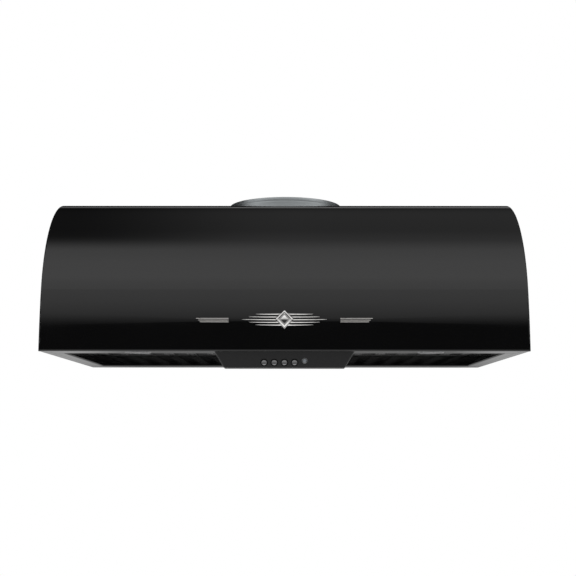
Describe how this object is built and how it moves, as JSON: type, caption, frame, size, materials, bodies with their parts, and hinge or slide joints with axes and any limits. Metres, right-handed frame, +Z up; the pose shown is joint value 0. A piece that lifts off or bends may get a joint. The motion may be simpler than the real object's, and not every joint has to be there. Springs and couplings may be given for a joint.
{
  "type": "under cabinet range hood",
  "caption": "Under-cabinet range hood with a rolled gloss black front, chrome trim, push buttons, tilting baffle filters, a blower and a round duct collar with damper flaps.",
  "frame": {"origin": "on the outer face of the top panel, on the duct axis, at the centre of the four cabinet screw holes", "axes": "+X along the hood's width to the right as the cook sees it, +Y towards the wall, +Z up along the duct"},
  "size_m": [0.76, 0.5024, 0.3105],
  "materials": {
    "gloss_black_enamel": "high-gloss black enamel",
    "gloss_black_plastic": "glossy moulded",
    "black_plastic": "fine matte",
    "indicator_glow": "clear pale lens",
    "lamp_metal": "satin",
    "lamp_glass": "frosted",
    "duct_metal": "mill",
    "rod_steel": "drawn",
    "gasket_rubber": "foam",
    "galvanised_steel": "zinc coated",
    "motor_paint": "semi-gloss",
    "capacitor_plastic": "plain",
    "cable_rubber": "smooth",
    "chrome": "bright plated",
    "filter_steel": "brushed",
    "screw_zinc": "zinc plated"
  },
  "bodies": {
    "canopy": {"back_panel": "gloss_black_enamel", "badge": "chrome", "blower_screws": "screw_zinc", "blower_scroll": "galvanised_steel", "capacitor": "capacitor_plastic", "centre_rail": "gloss_black_enamel", "collar_screws": "screw_zinc", "control_housing": "gloss_black_plastic", "control_screws": "screw_zinc", "damper_rod": "rod_steel", "duct_collar": "duct_metal", "front_panel": "gloss_black_enamel", "front_rail": "gloss_black_enamel", "indicator_bezel": "chrome", "indicator_lens": "indicator_glow", "led_driver": "capacitor_plastic", "left_blower_side": "galvanised_steel", "left_end_panel": "gloss_black_enamel", "left_lamp_housing": "lamp_metal", "left_lamp_lens": "lamp_glass", "left_side_rail": "gloss_black_enamel", "left_trim_bars": "chrome", "motor": "motor_paint", "motor_bracket": "galvanised_steel", "motor_cable": "cable_rubber", "outlet_gasket": "gasket_rubber", "rear_rail": "gloss_black_enamel", "right_blower_side": "galvanised_steel", "right_end_panel": "gloss_black_enamel", "right_lamp_housing": "lamp_metal", "right_lamp_lens": "lamp_glass", "right_side_rail": "gloss_black_enamel", "right_trim_bars": "chrome", "switch_block": "black_plastic", "switch_screws": "screw_zinc", "terminal_block": "capacitor_plastic", "top_panel": "gloss_black_enamel", "top_screws": "screw_zinc", "trim_push_nuts": "galvanised_steel", "wiring_box": "galvanised_steel", "wiring_box_cover": "galvanised_steel", "wiring_screws": "screw_zinc"},
    "impeller": {"impeller": "galvanised_steel", "motor_shaft": "rod_steel"},
    "front_damper": {"front_damper_flap": "duct_metal"},
    "rear_damper": {"rear_damper_flap": "duct_metal"},
    "fan_off_button": {"fan_off_button": "chrome"},
    "fan_low_button": {"fan_low_button": "chrome"},
    "fan_high_button": {"fan_high_button": "chrome"},
    "light_button": {"light_button": "chrome"},
    "left_latch": {"left_filter_latch": "filter_steel"},
    "right_latch": {"right_filter_latch": "filter_steel"},
    "left_filter": {"left_filter_frame": "filter_steel", "left_filter_pins": "rod_steel", "left_filter_lower_baffles": "filter_steel", "left_filter_upper_baffles": "filter_steel"},
    "right_filter": {"right_filter_frame": "filter_steel", "right_filter_pins": "rod_steel", "right_filter_lower_baffles": "filter_steel", "right_filter_upper_baffles": "filter_steel"}
  },
  "joints": [
    {"name": "impeller_spin", "type": "hinge", "parent": "canopy", "child": "impeller", "pos_m": [0, 0.0375, -0.124], "axis": [1, 0, 0], "continuous": true},
    {"name": "front_damper_swing", "type": "hinge", "parent": "canopy", "child": "front_damper", "pos_m": [0, 0, 0.008], "axis": [-1, 0, 0], "range_deg": [0, 75]},
    {"name": "rear_damper_swing", "type": "hinge", "parent": "canopy", "child": "rear_damper", "pos_m": [0, 0, 0.008], "axis": [1, 0, 0], "range_deg": [0, 75]},
    {"name": "fan_off_button_press", "type": "slide", "parent": "canopy", "child": "fan_off_button", "axis": [0, 0.9524, 0.3048], "range_m": [0, 0.003], "stiffness_N_per_m": 400, "springref_m": -0.0015},
    {"name": "fan_low_button_press", "type": "slide", "parent": "canopy", "child": "fan_low_button", "axis": [0, 0.9524, 0.3048], "range_m": [0, 0.003], "stiffness_N_per_m": 400, "springref_m": -0.0015},
    {"name": "fan_high_button_press", "type": "slide", "parent": "canopy", "child": "fan_high_button", "axis": [0, 0.9524, 0.3048], "range_m": [0, 0.003], "stiffness_N_per_m": 400, "springref_m": -0.0015},
    {"name": "light_button_press", "type": "slide", "parent": "canopy", "child": "light_button", "axis": [0, 0.9524, 0.3048], "range_m": [0, 0.003], "stiffness_N_per_m": 400, "springref_m": -0.0015},
    {"name": "left_filter_drop", "type": "hinge", "parent": "canopy", "child": "left_filter", "pos_m": [-0.1785, 0.1195, -0.2388], "axis": [1, 0, 0], "range_deg": [0, 70]},
    {"name": "left_latch_pull", "type": "slide", "parent": "left_filter", "child": "left_latch", "axis": [0, 1, 0], "range_m": [0, 0.006], "stiffness_N_per_m": 300, "springref_m": -0.004},
    {"name": "right_filter_drop", "type": "hinge", "parent": "canopy", "child": "right_filter", "pos_m": [0.1785, 0.1195, -0.2388], "axis": [1, 0, 0], "range_deg": [0, 70]},
    {"name": "right_latch_pull", "type": "slide", "parent": "right_filter", "child": "right_latch", "axis": [0, 1, 0], "range_m": [0, 0.006], "stiffness_N_per_m": 300, "springref_m": -0.004}
  ]
}
